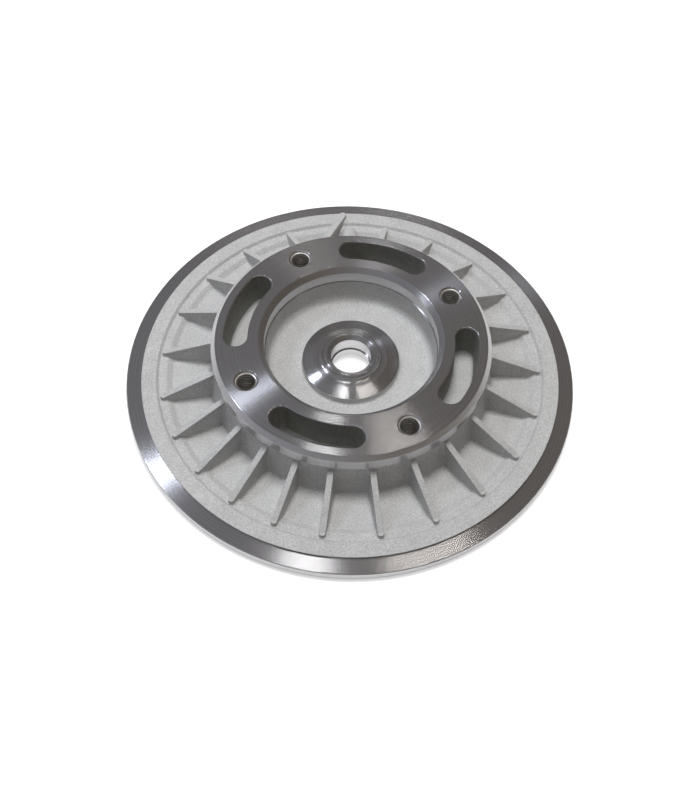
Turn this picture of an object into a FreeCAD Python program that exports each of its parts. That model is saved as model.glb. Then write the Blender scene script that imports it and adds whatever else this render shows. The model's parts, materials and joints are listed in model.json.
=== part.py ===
# Turbocharger compressor back plate: one aluminium casting with machined faces.
# Frame: +Z up along the shaft axis, origin on the axis in the plane of the underside, millimetres.
# Angles on the plate are measured clockwise from +Y, seen from above.
import FreeCAD, Part
import Sketcher
import math
import os
import re

SIZES = [
    # flange
    ("rim_dia", 220.0, "outside diameter of the flange"),
    ("rim_thickness", 5.0, "flange thickness at the turned band"),
    ("rim_edge", 0.4, "edge break of the rim"),
    ("band_width", 7.5, "turned seal band round the rim"),
    ("land_height", 1.4, "as-cast land above the turned band"),
    ("land_width", 7.1, "flat top of the land"),
    ("land_slope", 1.1, "radial run of the land's inner edge"),
    ("pocket_dia", 181.0, "upper edge of the recess between the ribs"),
    ("pocket_depth", 1.9, "recess floor below the turned band"),
    ("pocket_slope", 2.6, "radial run of the recess's sloping edge"),
    # ring
    ("ring_height", 28.8, "machined face above the underside"),
    ("ring_dia", 133.6, "outside diameter of the machined lip"),
    ("lip_chamfer_width", 2.1, "chamfer of the lip, radially"),
    ("lip_chamfer_height", 2.3, "chamfer of the lip, along the axis"),
    ("lip_depth", 8.2, "machined face to the lower edge of the lip"),
    ("lip_overhang", 0.8, "lip outside the cast wall"),
    ("wall_draft", 12.0, "draft of the ring's cast outer wall, degrees"),
    ("wall_fillet", 1.2, "cast fillet at the foot of the ring"),
    # bowl inside the ring
    ("spigot_dia", 83.4, "counterbore that locates on the bearing housing"),
    ("spigot_depth", 8.6, "machined face to the bottom of the counterbore"),
    ("spigot_chamfer", 2.5, "lead-in of the counterbore"),
    ("bowl_ledge", 0.4, "counterbore outside the cast bowl wall"),
    ("bowl_draft", 4.0, "draft of the bowl wall, degrees"),
    ("bowl_floor", 8.3, "bowl floor above the underside, at its outer edge"),
    ("bowl_dish", 0.8, "fall of the bowl floor towards the boss"),
    ("bowl_fillet", 3.6, "cast fillet between bowl wall and floor"),
    # centre boss and collar
    ("boss_dia", 47.6, "outer edge of the boss's machined cone"),
    ("boss_height", 10.8, "outer edge of the cone above the underside"),
    ("boss_draft", 6.0, "draft of the boss's cast wall, degrees"),
    ("boss_fillet", 1.0, "cast fillet at the foot of the boss"),
    ("cone_rise", 1.5, "rise of the cone from its outer to its inner edge"),
    ("seat_dia", 35.4, "inner edge of the cone"),
    ("collar_dia", 26.8, "outside diameter of the collar"),
    ("collar_height", 15.2, "top of the collar above the underside"),
    ("collar_fillet", 2.2, "fillet at the foot of the collar"),
    ("collar_chamfer", 2.0, "lead-in chamfer of the bore"),
    ("collar_edge", 0.5, "outer edge break of the collar"),
    ("bore_dia", 19.6, "upper bore, for the seal sleeve"),
    ("lower_bore_dia", 18.4, "lower bore"),
    ("lower_bore_length", 6.1, "lower bore above the underside"),
    ("bore_edge", 0.5, "edge break of the bore on the underside"),
    # underside
    ("wheel_recess_dia", 122.0, "clearance recess behind the wheel"),
    ("wheel_recess_depth", 1.5, "depth of that recess"),
    # slots and tapped holes in the machined face
    ("slot_circle_dia", 110.0, "centre line of the slots"),
    ("slot_width", 11.2, "width of a slot at the face"),
    ("slot_span", 35.5, "angle between a slot's end centres, degrees"),
    ("slot_first", 15.4, "middle of the first slot, degrees"),
    ("slot_depth", 18.5, "depth of a slot"),
    ("slot_draft", 2.5, "draft of a slot's walls, degrees"),
    ("slot_fillet", 1.6, "cast fillet round a slot's floor"),
    ("slot_edge", 0.4, "machined edge break of a slot"),
    ("slot_count", 4, "slots round the ring"),
    ("hole_circle_dia", 110.0, "pitch circle of the tapped holes"),
    ("hole_first", 60.2, "first tapped hole, degrees"),
    ("tapping_dia", 8.5, "tapping drill for M10"),
    ("tapping_depth", 20.0, "full-diameter depth of a tapped hole"),
    ("drill_angle", 118.0, "point angle of the drill, degrees"),
    ("countersink_dia", 11.4, "chamfer at the mouth of a tapped hole"),
    ("hole_count", 4, "tapped holes round the ring"),
    # ribs
    ("rib_thickness", 2.8, "rib thickness along its crest"),
    ("rib_draft", 2.5, "draft of a rib's flanks, degrees"),
    ("rib_drop", 1.4, "rib crest below the lip, at the ring"),
    ("rib_tip_dia", 187.4, "circle through the ribs' outer ends"),
    ("rib_tip_height", 2.2, "rib crest above the turned band, at its outer end"),
    ("rib_bite", 1.6, "ribs and brace run this far into the ring wall"),
    ("rib_fillet", 0.9, "cast fillet along the foot of a rib"),
    ("web_root", 2.1, "plane inside the flange in which the webs are rooted"),
    ("right_first", 10.0, "first rib of the right bank, degrees"),
    ("right_pitch", 16.0, "rib pitch of the right bank, degrees"),
    ("right_count", 11, "ribs in the right bank"),
    ("front_first", 186.0, "first rib of the front bank, degrees"),
    ("front_pitch", 13.8, "rib pitch of the front bank, degrees"),
    ("front_count", 5, "ribs in the front bank"),
    ("left_first", 255.5, "first rib of the left bank, degrees"),
    ("left_pitch", 16.3, "rib pitch of the left bank, degrees"),
    ("left_count", 6, "ribs in the left bank"),
    # oblique brace and blind oil boss between the left and right banks
    ("brace_width", 3.4, "brace thickness along its crest"),
    ("brace_end_angle", 355.7, "where the brace meets the land, degrees"),
    ("brace_end_radius", 99.8, "distance of that end from the axis"),
    ("brace_turn", 22.9, "brace turned away from the radius at that end, degrees"),
    ("brace_fillet", 0.6, "cast fillet along the feet of the brace and of the round boss"),
    ("brace_end_height", 3.2, "brace crest above the turned band, at its outer end"),
    ("nose_dia", 9.4, "diameter of the round boss"),
    ("nose_angle", 357.6, "direction of the round boss, degrees"),
    ("nose_reach", 92.5, "rounded end of that boss from the axis"),
    ("nose_rounding", 9.0, "length of the rounded end"),
    ("nose_height", 6.2, "axis of that boss above the underside"),
    ("nose_bite", 3.2, "round boss runs this far into the ring wall"),
]
NAMES = {name for name, value, note in SIZES}


def make_sheet(doc):
    sheet = doc.addObject("Spreadsheet::Sheet", "sizes")
    for row, (name, value, note) in enumerate(SIZES, start=1):
        sheet.set(f"A{row}", note)
        sheet.set(f"B{row}", str(value))
        sheet.setAlias(f"B{row}", name)
    doc.recompute()
    return sheet


def bound(text):
    """An expression in which each size's name points at its cell."""
    return re.sub(r"[a-z_]+", lambda word: "sizes." + word[0] if word[0] in NAMES else word[0], text)


# Two spots nearer than this, in mm, are the same.
NEAR = 1e-4
# Faces that meet at a smaller angle than this, in degrees, run on smoothly and take no fillet.
SHARP = 12.0
# A plane whose normal has at least this much of +Z in it is walked on, not a side.
STEEP = 0.8

# Places that several features share, as expressions of the sizes.
FLOOR = "(rim_thickness - pocket_depth)"
WALL = "(ring_dia / 2 - lip_overhang)"
UNDER_LIP = "(ring_height - lip_depth)"
BOWL_BOTTOM = "(bowl_floor - bowl_dish)"
BOSS_FOOT = f"boss_dia / 2 + (boss_height - {BOWL_BOTTOM}) * tan(boss_draft * 1deg)"


class Plate:
    """The document, its body, and the few steps that every feature shares."""

    def __init__(self, doc, label):
        self.doc = doc
        self.sheet = make_sheet(doc)
        self.body = doc.addObject("PartDesign::Body", label)
        self.body.Label = label
        self.volume = 0.0

    def value(self, text):
        return float(self.sheet.evalExpression(bound(text)))

    def origin(self, role):
        return [part for part in self.body.Origin.OriginFeatures if part.Role == role][0]

    def sketch(self, name, plane="XZ_Plane"):
        sketch = self.body.newObject("Sketcher::SketchObject", name)
        sketch.AttachmentSupport = [(self.origin(plane), "")]
        sketch.MapMode = "FlatFace"
        return sketch

    def move(self, sketch, shift, spin):
        """Shifts an attached sketch and turns it about its own upright direction."""
        turn = f"rotation(vector(0; 1; 0); ({spin}) * 1deg)"
        sketch.setExpression("AttachmentOffset", bound(f"placement(vector({shift}); {turn})"))

    def face_along(self, sketch, angle):
        """Turns an upright sketch so that its x runs outwards along the radius at a plate angle."""
        self.move(sketch, "0; 0; 0", f"90 - ({angle})")

    def face_outwards(self, sketch, angle, distance):
        """Sets an upright sketch square to a plate direction, at a distance from the axis."""
        turned = f"({angle}) * 1deg"
        self.move(sketch, f"({distance}) * sin({turned}); 0; -({distance}) * cos({turned})", f"180 - ({angle})")

    def lay(self, sketch, height, angle):
        """Lifts a level sketch to a height and turns it so that its y runs out at a plate angle."""
        turn = f"rotation(vector(0; 0; 1); -({angle}) * 1deg)"
        sketch.setExpression("AttachmentOffset", bound(f"placement(vector(0; 0; {height}); {turn})"))

    def pin(self, sketch, geometry, end, across, up):
        """Fixes a point of the sketch at two expressions, measured from the origin."""
        for kind, axis, text in (("DistanceX", -2, across), ("DistanceY", -1, up)):
            if text is None:
                continue
            if text == "0":
                sketch.addConstraint(Sketcher.Constraint("PointOnObject", geometry, end, axis))
                continue
            number = self.value(text)
            index = sketch.addConstraint(Sketcher.Constraint(kind, -1, 1, geometry, end, number))
            sketch.setExpression(f"Constraints[{index}]", bound(text))

    def outline(self, sketch, corners):
        """A closed outline of straight lines through corners given as pairs of expressions."""
        spots = [FreeCAD.Vector(self.value(across), self.value(up), 0) for across, up in corners]
        count = len(corners)
        for i in range(count):
            sketch.addGeometry(Part.LineSegment(spots[i], spots[(i + 1) % count]))
        for i in range(count):
            sketch.addConstraint(Sketcher.Constraint("Coincident", i, 2, (i + 1) % count, 1))
        for i, (across, up) in enumerate(corners):
            self.pin(sketch, i, 1, across, up)

    def sized(self, sketch, kind, geometry, text):
        """A Radius or Diameter constraint bound to an expression."""
        index = sketch.addConstraint(Sketcher.Constraint(kind, geometry, self.value(text)))
        sketch.setExpression(f"Constraints[{index}]", bound(text))

    def finish(self, feature, grows):
        """Recomputes and makes sure that the feature really added or took away material."""
        self.body.Tip = feature
        self.doc.recompute()
        volume = self.body.Shape.Volume
        if "Invalid" in feature.State or "Error" in feature.State:
            raise RuntimeError(f"{feature.Name} failed: {feature.State}")
        gain = volume - self.volume
        if grows is not None and (abs(gain) < NEAR or (gain > 0) != grows):
            raise RuntimeError(f"{feature.Name} went from {self.volume:.1f} to {volume:.1f} mm3")
        self.volume = volume
        return feature

    def feature(self, kind, name, sketch, grows, **settings):
        feature = self.body.newObject("PartDesign::" + kind, name)
        feature.Profile = sketch
        for key, setting in settings.items():
            setattr(feature, key, setting)
        return self.finish(feature, grows)

    def turned(self, name, corners, grows=True):
        """Turns an outline of (radius, height) pairs about the plate's axis."""
        sketch = self.sketch(name + "_section")
        self.outline(sketch, corners)
        kind = "Revolution" if grows else "Groove"
        axis = (self.origin("Z_Axis"), [""])
        return self.feature(kind, name, sketch, grows, ReferenceAxis=axis, Angle=360.0)

    def repeated(self, name, originals, grows, count, extent):
        """Repeats features clockwise round the plate's axis."""
        pattern = self.body.newObject("PartDesign::PolarPattern", name)
        pattern.Originals = originals
        pattern.Axis = (self.origin("Z_Axis"), [""])
        pattern.Reversed = True
        pattern.setExpression("Angle", bound(f"({extent}) * 1deg"))
        pattern.setExpression("Occurrences", bound(count))
        return self.finish(pattern, grows)

    def dressed(self, kind, name, size, edges, grows=None):
        """A Fillet or Chamfer on the named edges of the shape as it stands."""
        if not edges:
            raise RuntimeError(f"{name} found no edge")
        base = self.body.Tip
        dress = self.body.newObject("PartDesign::" + kind, name)
        dress.Base = (base, edges)
        dress.setExpression("Radius" if kind == "Fillet" else "Size", bound(size))
        return self.finish(dress, grows)

    def edges(self, fits):
        """Names of the edges of the shape as it stands that a test picks."""
        return [f"Edge{i}" for i, edge in enumerate(self.body.Shape.Edges, start=1) if fits(edge)]

    def circle_at(self, radius, height):
        """Names of the full circles about the plate's axis at a radius and a height."""
        wanted = (self.value(radius), self.value(height))

        def fits(edge):
            middle = edge.valueAt((edge.FirstParameter + edge.LastParameter) / 2)
            spots = [vertex.Point for vertex in edge.Vertexes] + [middle]
            return all(
                math.hypot(math.hypot(spot.x, spot.y) - wanted[0], spot.z - wanted[1]) < NEAR for spot in spots
            )

        return self.edges(fits)

    def corners(self, fits):
        """Names of the sharp edges whose two faces pass a test."""
        shape = self.body.Shape
        sides = {}
        for face in shape.Faces:
            for edge in face.Edges:
                sides.setdefault(edge.hashCode(), []).append(face)
        names = []
        for i, edge in enumerate(shape.Edges, start=1):
            faces = sides[edge.hashCode()]
            if len(faces) != 2 or not fits(*faces):
                continue
            spot = edge.valueAt((edge.FirstParameter + edge.LastParameter) / 2)
            normals = [face.normalAt(*face.Surface.parameter(spot)) for face in faces]
            if normals[0] * normals[1] < math.cos(math.radians(SHARP)):
                names.append(f"Edge{i}")
        return names


def add_flange(plate):
    """The rim with its turned band, the cast land inside it, and the shallow recess between the ribs."""
    rim = "rim_dia / 2"
    band = "rim_dia / 2 - band_width"
    step = "rim_dia / 2 - band_width - land_width"
    top = "rim_thickness + land_height"
    plate.turned("flange", [("0", "0"), (rim, "0"), (rim, "rim_thickness"), ("0", "rim_thickness")])
    plate.turned("land", [
        (step + " - land_slope", "rim_thickness - land_height"),
        (band, "rim_thickness - land_height"),
        (band, top),
        (step, top),
        (step + " - land_slope", "rim_thickness"),
    ])
    plate.turned("recess", [
        ("ring_dia / 4", FLOOR),
        ("pocket_dia / 2 - pocket_slope", FLOOR),
        ("pocket_dia / 2", "rim_thickness"),
        ("pocket_dia / 2", top),
        ("ring_dia / 4", top),
    ], grows=False)


def add_ring(plate):
    """The drafted cast wall of the ring and the machined lip that stands out over it."""
    foot = f"{WALL} + ({UNDER_LIP} - {FLOOR}) * tan(wall_draft * 1deg)"
    lip_root = f"{UNDER_LIP} - lip_overhang"
    plate.turned("ring_wall", [
        ("0", "pocket_depth / 2"),
        (foot, "pocket_depth / 2"),
        (foot, FLOOR),
        (WALL, UNDER_LIP),
        ("0", UNDER_LIP),
    ])
    plate.turned("ring_lip", [
        ("0", lip_root),
        (WALL, lip_root),
        ("ring_dia / 2", UNDER_LIP),
        ("ring_dia / 2", "ring_height - lip_chamfer_height"),
        ("ring_dia / 2 - lip_chamfer_width", "ring_height"),
        ("0", "ring_height"),
    ])
    blends = plate.circle_at(foot, FLOOR)
    blends += plate.circle_at("pocket_dia / 2 - pocket_slope", FLOOR)
    blends += plate.circle_at("pocket_dia / 2", "rim_thickness")
    plate.dressed("Fillet", "cast_blends", "wall_fillet", blends)


def is_crest(face):
    """True for a plane that looks up, level or sloping, such as a rib's crest."""
    return isinstance(face.Surface, Part.Plane) and abs(face.Surface.Axis.z) > STEEP


def is_ground(face, plate):
    """True for what the webs stand on: surfaces about the axis, and level planes up to the land."""
    if isinstance(face.Surface, Part.Plane):
        level = abs(face.Surface.Axis.z) > 1 - NEAR
        return level and face.Surface.Position.z < plate.value("rim_thickness + land_height") + NEAR
    if not hasattr(face.Surface, "Center"):
        return False
    return math.hypot(face.Surface.Center.x, face.Surface.Center.y) < NEAR


def blend_webs(plate, name, fillet):
    """Cast fillets along the feet of the webs, on the plate and up the ring wall."""

    def is_foot(one, other):
        web = other if is_ground(one, plate) else one
        return is_ground(one, plate) != is_ground(other, plate) and not is_crest(web)

    plate.dressed("Fillet", name, fillet, plate.corners(is_foot), True)


def web_section(plate, name, angle, distance, aside, crest, width):
    """A drafted cross-section square to a web: narrow along the crest and wider at its root."""
    sketch = plate.sketch(name)
    plate.face_outwards(sketch, angle, distance)
    half = f"({width}) / 2"
    foot = f"({half} + (({crest}) - web_root) * tan(rib_draft * 1deg))"
    plate.outline(sketch, [
        (f"{aside} - {foot}", "web_root"),
        (f"{aside} + {foot}", "web_root"),
        (f"{aside} + {half}", crest),
        (f"{aside} - {half}", crest),
    ])
    return sketch


def add_web(plate, name, angle, span, aside, low, width):
    """A tapering web from inside the ring wall to a rounded outer end, with one draft all round."""
    inner, wall, outer = span
    high = f"({UNDER_LIP} - rib_drop)"
    slope = f"({high} - ({low})) / (({outer}) - ({wall}))"
    start = f"{high} + {slope} * (({wall}) - ({inner}))"
    near = web_section(plate, name + "_inner", angle, inner, aside, start, width)
    far = web_section(plate, name + "_outer", angle, outer, aside, low, width)
    web = plate.feature("AdditiveLoft", name + "_web", near, True, Sections=[(far, [""])], Ruled=True)
    sketch = plate.sketch(name + "_end_section")
    plate.face_outwards(sketch, angle, outer)
    foot = f"({width}) / 2 + (({low}) - web_root) * tan(rib_draft * 1deg)"
    plate.outline(sketch, [
        (aside, "web_root"),
        (f"{aside} + {foot}", "web_root"),
        (f"{aside} + ({width}) / 2", low),
        (aside, low),
    ])
    end = plate.feature("Revolution", name + "_end", sketch, True, ReferenceAxis=(sketch, ["Edge4"]), Angle=360.0)
    return [web, end]


def add_ribs(plate):
    """The three banks of gussets between the ring wall and the recess."""
    span = (f"{WALL} - rib_bite", WALL, "rib_tip_dia / 2 - rib_thickness / 2")
    low = "rim_thickness + rib_tip_height"
    for bank in ("right", "front", "left"):
        rib = add_web(plate, bank + "_rib", bank + "_first", span, "0", low, "rib_thickness")
        extent = f"({bank}_count - 1) * {bank}_pitch"
        plate.repeated(bank + "_ribs", rib, True, bank + "_count", extent)
    blend_webs(plate, "rib_feet", "rib_fillet")


def add_brace(plate):
    """The oblique web that runs from the ring to the land, square to neither."""
    angle = "brace_end_angle + brace_turn"
    aside = "brace_end_radius * sin(brace_turn * 1deg)"
    inner = f"sqrt(({WALL} - rib_bite)^2 - ({aside})^2)"
    wall = f"sqrt({WALL}^2 - ({aside})^2)"
    outer = "brace_end_radius * cos(brace_turn * 1deg)"
    low = "rim_thickness + brace_end_height"
    add_web(plate, "brace", angle, (inner, wall, outer), aside, low, "brace_width")


def quarter_ellipse(plate, sketch, middle, tip, side):
    """Adds a quarter of an ellipse from its tip to its side, fixed by three pairs of expressions."""
    spots = [FreeCAD.Vector(plate.value(across), plate.value(up), 0) for across, up in (middle, tip, side)]
    turned = (spots[1] - spots[0]).cross(spots[2] - spots[0]).z > 0
    first, last = (spots[1], spots[2]) if turned else (spots[2], spots[1])
    ellipse = Part.Ellipse(spots[1], spots[2] if turned else spots[0] * 2 - spots[2], spots[0])
    begin = 0 if turned else -math.pi / 2
    index = sketch.addGeometry(Part.ArcOfEllipse(ellipse, begin, begin + math.pi / 2))
    ends = ((3, middle), (1, tip if turned else side), (2, side if turned else tip))
    for end, (across, up) in ends:
        plate.pin(sketch, index, end, across, up)
    sketch.exposeInternalGeometry(index)
    upright = abs(spots[1].x - spots[0].x) < NEAR
    sketch.addConstraint(Sketcher.Constraint("Vertical" if upright else "Horizontal", index + 1))
    return index


def nose_outline(plate, name, height, spread):
    """Plan of the round boss at a height: straight sides and an elliptical end, widened by its draft."""
    sketch = plate.sketch(name, "XY_Plane")
    plate.lay(sketch, height, "nose_angle")
    start = f"{WALL} - nose_bite"
    shoulder = "nose_reach - nose_rounding"
    half = f"nose_dia / 2 + {spread}"
    tip = ("0", f"nose_reach + {spread}")
    sides = [("-(" + half + ")", shoulder), (half, shoulder)]
    backs = [("-(" + half + ")", start), (half, start)]
    for side in sides:
        quarter_ellipse(plate, sketch, ("0", shoulder), tip, side)
    corners = [sides[0], backs[0], backs[1], sides[1]]
    spots = [FreeCAD.Vector(plate.value(across), plate.value(up), 0) for across, up in corners]
    for i in range(3):
        index = sketch.addGeometry(Part.LineSegment(spots[i], spots[i + 1]))
        plate.pin(sketch, index, 1, *corners[i])
        plate.pin(sketch, index, 2, *corners[i + 1])
    return sketch


def add_nose(plate):
    """The blind round boss beside the brace: drafted sides under a half-round, elliptical-ended top."""
    spread = "(nose_height - web_root) * tan(rib_draft * 1deg)"
    upper = nose_outline(plate, "nose_plan", "nose_height", "0")
    lower = nose_outline(plate, "nose_foot", "web_root", spread)
    plate.feature("AdditiveLoft", "nose_sides", upper, True, Sections=[(lower, [""])], Ruled=True)
    sketch = plate.sketch("nose_section")
    plate.face_along(sketch, "nose_angle")
    start = f"{WALL} - nose_bite"
    shoulder = "nose_reach - nose_rounding"
    top = "nose_height + nose_dia / 2"
    corners = [("nose_reach", "nose_height"), (start, "nose_height"), (start, top), (shoulder, top)]
    spots = [FreeCAD.Vector(plate.value(across), plate.value(up), 0) for across, up in corners]
    for i in range(3):
        sketch.addGeometry(Part.LineSegment(spots[i], spots[i + 1]))
        plate.pin(sketch, i, 1, *corners[i])
        plate.pin(sketch, i, 2, *corners[i + 1])
    quarter_ellipse(plate, sketch, (shoulder, "nose_height"), corners[0], corners[3])
    axis = (sketch, ["Edge1"])
    plate.feature("Revolution", "nose_top", sketch, True, ReferenceAxis=axis, Angle=360.0)
    blend_webs(plate, "brace_feet", "brace_fillet")


def add_bowl(plate):
    """The cast bowl inside the ring with its dished floor, and the machined counterbore above it."""
    mouth = "spigot_dia / 2 - bowl_ledge"
    ledge = "ring_height - spigot_depth"
    wall_foot = f"{mouth} - ({ledge} - bowl_floor) * tan(bowl_draft * 1deg)"
    plate.turned("bowl", [
        ("0", BOWL_BOTTOM),
        (BOSS_FOOT, BOWL_BOTTOM),
        (wall_foot, "bowl_floor"),
        (mouth, ledge),
        (mouth, "ring_height"),
        ("0", "ring_height"),
    ], grows=False)
    plate.turned("counterbore", [
        ("0", ledge),
        ("spigot_dia / 2", ledge),
        ("spigot_dia / 2", "ring_height - spigot_chamfer"),
        ("spigot_dia / 2 + spigot_chamfer", "ring_height"),
        ("0", "ring_height"),
    ], grows=False)
    plate.dressed("Fillet", "bowl_corner", "bowl_fillet", plate.circle_at(wall_foot, "bowl_floor"), True)


def add_boss(plate):
    """The centre boss with its machined cone, and the collar round the bore."""
    seat = "boss_height + cone_rise"
    plate.turned("boss", [
        ("0", "bowl_floor / 2"),
        (BOSS_FOOT, "bowl_floor / 2"),
        (BOSS_FOOT, BOWL_BOTTOM),
        ("boss_dia / 2", "boss_height"),
        ("seat_dia / 2", seat),
        ("0", seat),
    ])
    plate.turned("collar", [
        ("0", "boss_height"),
        ("collar_dia / 2", "boss_height"),
        ("collar_dia / 2", "collar_height"),
        ("0", "collar_height"),
    ])
    plate.dressed("Fillet", "boss_foot", "boss_fillet", plate.circle_at(BOSS_FOOT, BOWL_BOTTOM), True)
    plate.dressed("Fillet", "collar_foot", "collar_fillet", plate.circle_at("collar_dia / 2", seat), True)
    plate.dressed("Chamfer", "collar_rim", "collar_edge", plate.circle_at("collar_dia / 2", "collar_height"), False)


def add_bore(plate):
    """The stepped bore right through, with its lead-in chamfer, and the recess behind the wheel."""
    plate.turned("wheel_recess", [
        ("0", "0"),
        ("wheel_recess_dia / 2", "0"),
        ("wheel_recess_dia / 2", "wheel_recess_depth"),
        ("0", "wheel_recess_depth"),
    ], grows=False)
    plate.turned("lower_bore", [
        ("0", "wheel_recess_depth"),
        ("lower_bore_dia / 2 + bore_edge", "wheel_recess_depth"),
        ("lower_bore_dia / 2", "wheel_recess_depth + bore_edge"),
        ("lower_bore_dia / 2", "lower_bore_length"),
        ("0", "lower_bore_length"),
    ], grows=False)
    plate.turned("upper_bore", [
        ("0", "lower_bore_length"),
        ("bore_dia / 2", "lower_bore_length"),
        ("bore_dia / 2", "collar_height - collar_chamfer"),
        ("bore_dia / 2 + collar_chamfer", "collar_height"),
        ("0", "collar_height"),
    ], grows=False)


def add_slots(plate):
    """Four blind cored slots in the machined face, drafted, with filleted floors and broken edges."""
    sketch = plate.sketch("slot_outline", "XY_Plane")
    plate.lay(sketch, "ring_height", "slot_first")
    radius = plate.value("slot_circle_dia / 2")
    half_width = plate.value("slot_width / 2")
    half_span = math.radians(plate.value("slot_span / 2"))
    up = math.pi / 2
    centre = FreeCAD.Vector()
    axis = FreeCAD.Vector(0, 0, 1)
    right = FreeCAD.Vector(radius * math.sin(half_span), radius * math.cos(half_span), 0)
    left = FreeCAD.Vector(-right.x, right.y, 0)
    arcs = [
        (centre, radius + half_width, up - half_span, up + half_span),
        (left, half_width, up + half_span, up + half_span + math.pi),
        (centre, radius - half_width, up - half_span, up + half_span),
        (right, half_width, up - half_span - math.pi, up - half_span),
    ]
    for middle, size, begin, end in arcs:
        sketch.addGeometry(Part.ArcOfCircle(Part.Circle(middle, axis, size), begin, end))
    for arc in (0, 2):
        sketch.addConstraint(Sketcher.Constraint("Coincident", arc, 3, -1, 1))
    for ends in ((0, 2, 1, 1), (1, 2, 2, 2), (2, 1, 3, 1), (3, 2, 0, 1)):
        sketch.addConstraint(Sketcher.Constraint("Tangent", *ends))
    across = "slot_circle_dia / 2 * sin(slot_span / 2 * 1deg)"
    plate.pin(sketch, 1, 3, "-" + across, "slot_circle_dia / 2 * cos(slot_span / 2 * 1deg)")
    plate.pin(sketch, 3, 3, across, None)
    plate.sized(sketch, "Radius", 0, "slot_circle_dia / 2 + slot_width / 2")
    slot = plate.feature("Pocket", "slot", sketch, False, Length=plate.value("slot_depth"))
    slot.setExpression("Length", "sizes.slot_depth")
    slot.setExpression("TaperAngle", "-sizes.slot_draft * 1deg")
    plate.finish(slot, None)
    pitch = "360 / slot_count"
    plate.repeated("slots", [slot], False, "slot_count", f"(slot_count - 1) * {pitch}")
    floor = plate.value("ring_height - slot_depth")
    face = plate.value("ring_height")

    def in_slot(edge, height):
        box = edge.BoundBox
        reach = edge.Vertexes[0].Point
        off_centre_line = abs(math.hypot(reach.x, reach.y) - radius)
        return abs(box.ZMin - height) + abs(box.ZMax - height) < NEAR and off_centre_line < half_width + NEAR

    plate.dressed("Fillet", "slot_floors", "slot_fillet", plate.edges(lambda edge: in_slot(edge, floor)), True)
    plate.dressed("Chamfer", "slot_mouths", "slot_edge", plate.edges(lambda edge: in_slot(edge, face)), False)


def add_holes(plate):
    """Four drilled and countersunk holes, threaded M10, between the slots."""
    sketch = plate.sketch("hole_centre", "XY_Plane")
    plate.lay(sketch, "ring_height", "hole_first")
    middle = FreeCAD.Vector(0, plate.value("hole_circle_dia / 2"), 0)
    sketch.addGeometry(Part.Circle(middle, FreeCAD.Vector(0, 0, 1), plate.value("tapping_dia / 2")))
    plate.pin(sketch, 0, 3, "0", "hole_circle_dia / 2")
    plate.sized(sketch, "Diameter", 0, "tapping_dia")
    plate.doc.recompute()
    hole = plate.body.newObject("PartDesign::Hole", "tapped_hole")
    hole.Profile = sketch
    plate.doc.recompute()
    hole.DepthType = "Dimension"
    hole.DrillPoint = "Angled"
    hole.HoleCutType = "Countersink"
    hole.HoleCutCustomValues = True
    hole.HoleCutCountersinkAngle = 90
    for key, text in (
        ("Diameter", "tapping_dia"),
        ("Depth", "tapping_depth"),
        ("DrillPointAngle", "drill_angle * 1deg"),
        ("HoleCutDiameter", "countersink_dia"),
    ):
        hole.setExpression(key, bound(text))
    plate.finish(hole, False)
    plate.repeated("tapped_holes", [hole], False, "hole_count", "(hole_count - 1) * 360 / hole_count")


def add_edges(plate):
    """The broken edges of the rim."""
    corners = plate.circle_at("rim_dia / 2", "rim_thickness")
    corners += plate.circle_at("rim_dia / 2", "0")
    plate.dressed("Chamfer", "rim_edges", "rim_edge", corners, False)


def check(plate):
    """Stops unless every object and the finished solid are sound."""
    for part in plate.doc.Objects:
        if "Invalid" in part.State or "Error" in part.State:
            raise RuntimeError(f"{part.Name} is {part.State}")
    shape = plate.body.Shape
    if shape.isNull() or not shape.isValid() or len(shape.Solids) != 1:
        raise RuntimeError(f"{plate.body.Label} is not one valid solid")


document = FreeCAD.newDocument("compressor_back_plate")
back_plate = Plate(document, "back_plate")
add_flange(back_plate)
add_ring(back_plate)
add_bowl(back_plate)
add_boss(back_plate)
add_bore(back_plate)
add_slots(back_plate)
add_holes(back_plate)
add_edges(back_plate)
add_ribs(back_plate)
add_brace(back_plate)
add_nose(back_plate)
check(back_plate)
os.makedirs("parts", exist_ok=True)
back_plate.body.Shape.exportStep(f"parts/{back_plate.body.Label}.step")
print(f"{back_plate.body.Label}: {back_plate.body.Shape.Volume / 1000:.1f} cm3, "
      f"{len(back_plate.body.Shape.Faces)} faces")
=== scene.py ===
import json
import math

import bpy
from mathutils import Matrix, Vector

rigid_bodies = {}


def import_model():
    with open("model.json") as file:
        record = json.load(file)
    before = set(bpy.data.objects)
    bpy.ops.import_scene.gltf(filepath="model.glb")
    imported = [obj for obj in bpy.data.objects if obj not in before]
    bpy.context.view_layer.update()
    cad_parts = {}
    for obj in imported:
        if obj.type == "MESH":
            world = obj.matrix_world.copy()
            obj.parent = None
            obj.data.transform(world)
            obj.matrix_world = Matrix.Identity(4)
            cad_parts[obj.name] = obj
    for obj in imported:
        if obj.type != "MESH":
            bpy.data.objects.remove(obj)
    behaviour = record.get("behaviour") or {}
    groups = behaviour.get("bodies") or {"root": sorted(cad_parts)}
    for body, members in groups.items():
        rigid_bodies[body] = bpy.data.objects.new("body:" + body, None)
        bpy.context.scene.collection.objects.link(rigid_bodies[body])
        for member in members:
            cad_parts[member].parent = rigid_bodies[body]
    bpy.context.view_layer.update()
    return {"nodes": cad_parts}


for leftover in list(bpy.data.objects):
    bpy.data.objects.remove(leftover)

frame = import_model()
mm = 0.001

# ---------------------------------------------------------------------------
# The back plate: one gravity casting in silicon aluminium, shot-blasted after fettling.
# What no tool has touched keeps a pale, even, fine-grained skin that hardly reflects.
# ---------------------------------------------------------------------------
back_plate = frame["nodes"]["back_plate"]


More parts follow.
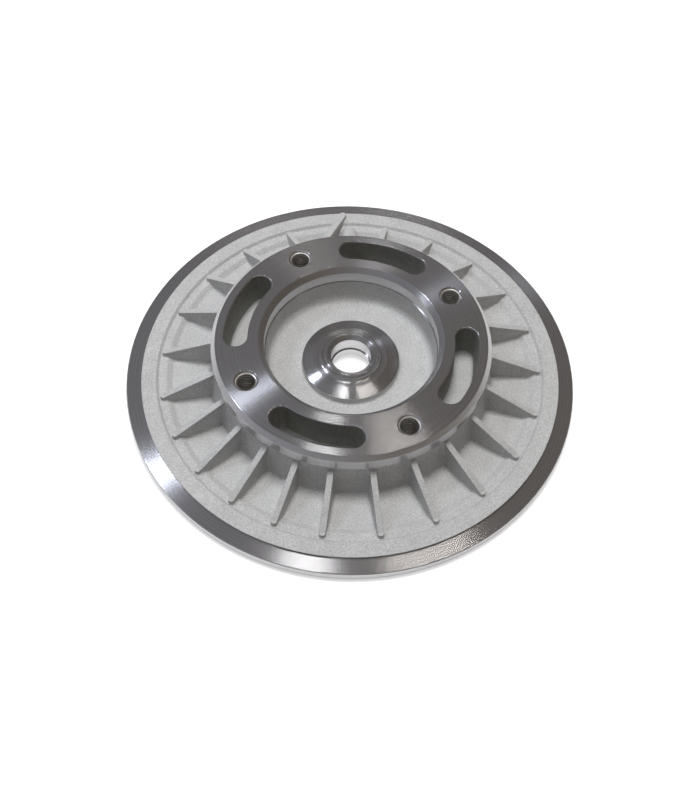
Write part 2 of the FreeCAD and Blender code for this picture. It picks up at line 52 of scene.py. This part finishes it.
def linear(sheet_colour):
    """An sRGB hex colour as linear red, green, blue and alpha."""
    parts = [int(sheet_colour[i : i + 2], 16) / 255 for i in (1, 3, 5)]
    return [c / 12.92 if c <= 0.04045 else ((c + 0.055) / 1.055) ** 2.4 for c in parts] + [1.0]


def add(tree, kind, inputs=None, **settings):
    """Adds a node, sets its properties, and fills its inputs with values or other nodes' outputs."""
    made = tree.nodes.new("ShaderNode" + kind)
    for name, value in settings.items():
        setattr(made, name, value)
    for socket, value in (inputs or {}).items():
        if isinstance(value, bpy.types.NodeSocket):
            tree.links.new(value, made.inputs[socket])
        else:
            made.inputs[socket].default_value = value
    return made


def new_finish(name):
    """A new material, with the node tree and the shader that its recipe works on."""
    material = bpy.data.materials.new(name)
    material.use_nodes = True
    return material, material.node_tree, material.node_tree.nodes["Principled BSDF"]


# Noise mostly stays between these two values, so they are the ends of what it is turned into.
noise_low, noise_high = 0.3, 0.7
noise_range = {"From Min": noise_low, "From Max": noise_high}


def cast_aluminium(name, low, high):
    """Sand and shot leave half-millimetre dimples, so it looks matt and slightly mottled."""
    material, tree, shader = new_finish(name)
    dimple = 0.6  # mm across
    dimple_depth = 0.22  # mm
    blotch = 9.0  # mm across
    worn_edge = 0.6  # mm, how far blasting rounds a corner
    place = add(tree, "TexCoord").outputs["Object"]
    fine = {"Vector": place, "Scale": 1 / (dimple * mm), "Detail": 2.0, "Roughness": 0.6}
    dimples = add(tree, "TexNoise", fine)
    broad = {"Vector": place, "Scale": 1 / (blotch * mm), "Detail": 4.0, "Roughness": 0.6}
    blotches = add(tree, "TexNoise", broad)
    tint = add(tree, "ValToRGB", {"Fac": blotches.outputs["Fac"]})
    tint.color_ramp.elements[0].position = noise_low
    tint.color_ramp.elements[0].color = linear(low)
    tint.color_ramp.elements[1].position = noise_high
    tint.color_ramp.elements[1].color = linear(high)
    darker_to_lighter = {**noise_range, "To Min": 0.74, "To Max": 1.16}
    speck = add(tree, "MapRange", {"Value": dimples.outputs["Fac"], **darker_to_lighter})
    speckled = {0: tint.outputs["Color"], "Scale": speck.outputs["Result"]}
    colour = add(tree, "VectorMath", speckled, operation="SCALE")
    duller_to_glossier = {**noise_range, "To Min": 0.72, "To Max": 0.66}
    gloss = add(tree, "MapRange", {"Value": blotches.outputs["Fac"], **duller_to_glossier})
    worn = add(tree, "Bevel", {"Radius": worn_edge * mm}, samples=6)
    bump = add(tree, "Bump", {"Height": dimples.outputs["Fac"], "Distance": dimple_depth * mm,
                              "Strength": 1.0, "Normal": worn.outputs["Normal"]})
    tree.links.new(colour.outputs["Vector"], shader.inputs["Base Color"])
    tree.links.new(gloss.outputs["Result"], shader.inputs["Roughness"])
    tree.links.new(bump.outputs["Normal"], shader.inputs["Normal"])
    shader.inputs["Metallic"].default_value = 0.5
    return material


# ---------------------------------------------------------------------------
# The faces that fit against something are turned on a lathe: rim, ring, counterbore, collar, bore
# and underside. The tool leaves fine rings, so they shine in fans that point at the axis.
# ---------------------------------------------------------------------------
def turned_aluminium():
    """Circular tool marks stretch each highlight across them and hold the rest of the face dark."""
    material, tree, shader = new_finish("turned_aluminium")
    feed = 0.7  # mm from one tool mark to the next, drawn coarse enough to show
    broken_edge = 0.35  # mm, the edge break left by a deburring tool
    place = add(tree, "TexCoord").outputs["Object"]
    flat = add(tree, "VectorMath", {0: place, 1: (1, 1, 0)}, operation="MULTIPLY")
    radius = add(tree, "VectorMath", {0: flat.outputs["Vector"]}, operation="LENGTH")
    height = add(tree, "SeparateXYZ", {"Vector": place})
    along = add(tree, "Math", {0: radius.outputs["Value"], 1: height.outputs["Z"]}, operation="ADD")
    marks = add(tree, "TexNoise", {"W": along.outputs["Value"], "Scale": 1 / (feed * mm), "Detail": 1.0,
                                   "Roughness": 0.5}, noise_dimensions="1D")
    axis_and_arm = {0: (0, 0, 1), 1: flat.outputs["Vector"]}
    round_way = add(tree, "VectorMath", axis_and_arm, operation="CROSS_PRODUCT")
    tangent = add(tree, "VectorMath", {0: round_way.outputs["Vector"]}, operation="NORMALIZE")
    edge = add(tree, "Bevel", {"Radius": broken_edge * mm}, samples=12)
    tint = add(tree, "ValToRGB", {"Fac": marks.outputs["Fac"]})
    tint.color_ramp.elements[0].position = noise_low
    tint.color_ramp.elements[0].color = linear("#c6c5c6")
    tint.color_ramp.elements[1].position = noise_high
    tint.color_ramp.elements[1].color = linear("#d2d1d2")
    duller_to_glossier = {**noise_range, "To Min": 0.24, "To Max": 0.228}
    gloss = add(tree, "MapRange", {"Value": marks.outputs["Fac"], **duller_to_glossier})
    tree.links.new(tint.outputs["Color"], shader.inputs["Base Color"])
    tree.links.new(gloss.outputs["Result"], shader.inputs["Roughness"])
    tree.links.new(tangent.outputs["Vector"], shader.inputs["Tangent"])
    tree.links.new(edge.outputs["Normal"], shader.inputs["Normal"])
    shader.inputs["Metallic"].default_value = 1.0
    shader.inputs["Anisotropic"].default_value = 1.0
    shader.inputs["Anisotropic Rotation"].default_value = 0.25
    return material


# ---------------------------------------------------------------------------
# Four M10 holes are drilled, countersunk and tapped in the ring, between the slots left by sand cores.
# Its thread has painted shade in the grooves and painted highlights on the flanks: bright turns in a
# dark hole.
# ---------------------------------------------------------------------------
def tapped_aluminium():
    """A thread of 1.5 mm pitch, with painted highlights on its flanks and painted shade in its grooves.
    """
    material, tree, shader = new_finish("tapped_aluminium")
    pitch = 1.5  # mm
    thread_depth = 0.5  # mm, shallower than a real thread's
    place = add(tree, "TexCoord").outputs["Object"]
    height = add(tree, "SeparateXYZ", {"Vector": place})
    turns = add(tree, "Math", {0: height.outputs["Z"], 1: 2 / (pitch * mm)}, operation="MULTIPLY")
    flank = add(tree, "Math", {0: turns.outputs["Value"], 1: 1.0}, operation="PINGPONG")
    bump = add(tree, "Bump", {"Height": flank.outputs["Value"], "Distance": thread_depth * mm,
                              "Strength": 1.0})
    # Painted shade in the thread's grooves and painted highlights on its flanks and countersink, by
    # height.
    painted_thread_light = add(tree, "ValToRGB", {"Fac": flank.outputs["Value"]})
    painted_thread_light.color_ramp.elements[0].color = linear("#5c5a56")
    painted_thread_light.color_ramp.elements[1].color = linear("#f2efea")
    tree.links.new(painted_thread_light.outputs["Color"], shader.inputs["Base Color"])
    tree.links.new(bump.outputs["Normal"], shader.inputs["Normal"])
    shader.inputs["Metallic"].default_value = 0.75
    shader.inputs["Roughness"].default_value = 0.3
    return material


# ---------------------------------------------------------------------------
# Which faces have which finish. The limits are in mm from the axis or above the underside, and
# keep clear of the next finish. The slots' walls get a darker copy of the cast skin: painted shade
# for the deep slots.
# ---------------------------------------------------------------------------
blasted, turned, tapped, painted_slot_shade = range(4)
hole_count = 4
hole_ring = 55.0  # mm from the axis to a hole
hole_reach = 5.8  # mm, the radius of a hole's countersink with a little to spare
hole_angle = 60.2  # degrees from the back to the first hole


def finish_of(face):
    """The finish of a face, by where its middle lies."""
    x, y, z = (value / mm for value in face.center)
    radius = math.hypot(x, y)
    rim_or_underside = radius > 102.4 or z < 1.6
    bore = radius < 10.5
    collar = radius < 17.8 and z > 12.2
    cone = radius < 23.9 and z > 10.7
    counterbore = radius < 44.3 and z > 20.1
    lip = radius > 65.0 and z > 19.7
    ring_top = z > 28.3
    slot_wall = 48.0 < radius < 62.5 and z > 12.0
    if rim_or_underside or bore or collar or cone or counterbore or lip or ring_top:
        return turned
    for hole_number in range(hole_count):
        angle = math.radians(hole_angle + 360 * hole_number / hole_count)
        hole = hole_ring * math.sin(angle), hole_ring * math.cos(angle)
        if math.dist((x, y), hole) < hole_reach:
            return tapped
    # The slots' walls get the darker copy of the cast skin, which is painted shade for the deep slots.
    return painted_slot_shade if slot_wall else blasted


finishes = {
    blasted: cast_aluminium("blasted_cast_aluminium", "#c2c2c1", "#cacac9"),
    turned: turned_aluminium(),
    tapped: tapped_aluminium(),
    # A darker copy of the cast skin: painted shade for the walls of the deep slots.
    painted_slot_shade: cast_aluminium("slot_shade_cast_aluminium", "#8b8b87", "#969590"),
}
back_plate.material_slots[0].material = finishes[blasted]
for finish in (turned, tapped, painted_slot_shade):
    back_plate.data.materials.append(finishes[finish])
for face in back_plate.data.polygons:
    face.material_index = finish_of(face)

# ---------------------------------------------------------------------------
# A matt white table under the plate. It is a little brighter to the eye than its paint,
# and still takes the plate's soft shadow.
# ---------------------------------------------------------------------------
bpy.ops.mesh.primitive_plane_add(size=6.0)
table = bpy.context.object
table.name = "table"
white_paint, paint, coat = new_finish("white_paint")
coat.inputs["Base Color"].default_value = linear("#b3b3b3")
coat.inputs["Roughness"].default_value = 0.9
coat.inputs["Emission Color"].default_value = (1, 1, 1, 1)
added_white = 0.55  # of full white, for the eye and for metal and glass
seen = add(paint, "LightPath")
eye_or_mirror = {0: seen.outputs["Is Camera Ray"], 1: seen.outputs["Is Glossy Ray"]}
mirrored = add(paint, "Math", eye_or_mirror, operation="ADD")
mirror_or_glass = {0: mirrored.outputs["Value"], 1: seen.outputs["Is Transmission Ray"]}
shown = add(paint, "Math", mirror_or_glass, operation="ADD")
lift = add(paint, "Math", {0: shown.outputs["Value"], 1: added_white}, operation="MULTIPLY")
paint.links.new(lift.outputs["Value"], coat.inputs["Emission Strength"])
table.data.materials.append(white_paint)

# ---------------------------------------------------------------------------
# Light: three narrow lamps, two overhead and a cool one on the left, each for one pair of fans
# on the turned faces. A soft overhead one lights the cast skin, and metal doesn't mirror it.
# The room is dim, cool on the left and warm on the right, and its level is what the ring shows.
# ---------------------------------------------------------------------------
room = bpy.data.worlds.new("room")
bpy.context.scene.world = room
room.use_nodes = True
walls = room.node_tree
way = add(walls, "SeparateXYZ", {"Vector": add(walls, "TexCoord").outputs["Generated"]})
across = add(walls, "MapRange", {"Value": way.outputs["X"], "From Min": -0.5, "From Max": 0.5})
glow = add(walls, "ValToRGB", {"Fac": across.outputs["Result"]})
glow.color_ramp.elements[0].color = linear("#86878c")
glow.color_ramp.elements[1].color = linear("#665f57")
walls.links.new(glow.outputs["Color"], walls.nodes["Background"].inputs["Color"])


def soft_lamp(name, place, width, length, watts):
    """A rectangular lamp that faces straight down. Place, width and length are in metres."""
    light = bpy.data.lights.new(name, "AREA")
    light.shape = "RECTANGLE"
    light.size = width
    light.size_y = length
    light.energy = watts
    lamp = bpy.data.objects.new(name, light)
    bpy.context.collection.objects.link(lamp)
    lamp.location = place
    return lamp


plate_middle = Vector((0, 0, 0.01))
# Each row has a name, a place, a width and a length in metres, watts, a colour and a roll in degrees.
for name, place, width, length, watts, tint, roll in (
    ("overhead_left", (-0.073, 0.21, 1.1), 0.03, 0.25, 0.5, "#ffffff", 0),
    ("overhead_right", (0.185, 0.21, 1.1), 0.03, 0.25, 0.5, "#fffaf5", 0),
    ("window", (-0.61, 0.225, 0.946), 0.3, 0.1, 2.0, "#eaf0ff", -30),
):
    lamp = soft_lamp(name, place, width, length, watts)
    lamp.data.color = linear(tint)[:3]
    lamp.rotation_euler = (plate_middle - lamp.location).to_track_quat("-Z", "Y").to_euler()
    lamp.rotation_euler.rotate_axis("Z", math.radians(roll))
fill_lamp = soft_lamp("fill", (0.0, 0.16, 1.0), 0.3, 0.3, 13.4)
fill_lamp.visible_glossy = False

# ---------------------------------------------------------------------------
# The camera looks down on the bearing side from the front, leaning over slightly.
# ---------------------------------------------------------------------------
elevation = math.radians(57.02)
lean = math.radians(2.13)
distance = 0.4355  # m from the point aimed at
aim = Vector((0.0003, -0.0203, 0.005))
away = Vector((0, -math.cos(elevation), math.sin(elevation))) * distance
camera = bpy.data.objects.new("camera", bpy.data.cameras.new("camera"))
bpy.context.collection.objects.link(camera)
camera.data.lens = 40.5
camera.data.sensor_width = 36.0
camera.data.clip_start = 0.01
turn = Matrix.Rotation(math.pi / 2 - elevation, 4, "X") @ Matrix.Rotation(lean, 4, "Z")
camera.matrix_world = Matrix.Translation(aim + away) @ turn
bpy.context.scene.camera = camera
bpy.context.scene.view_settings.view_transform = "Standard"
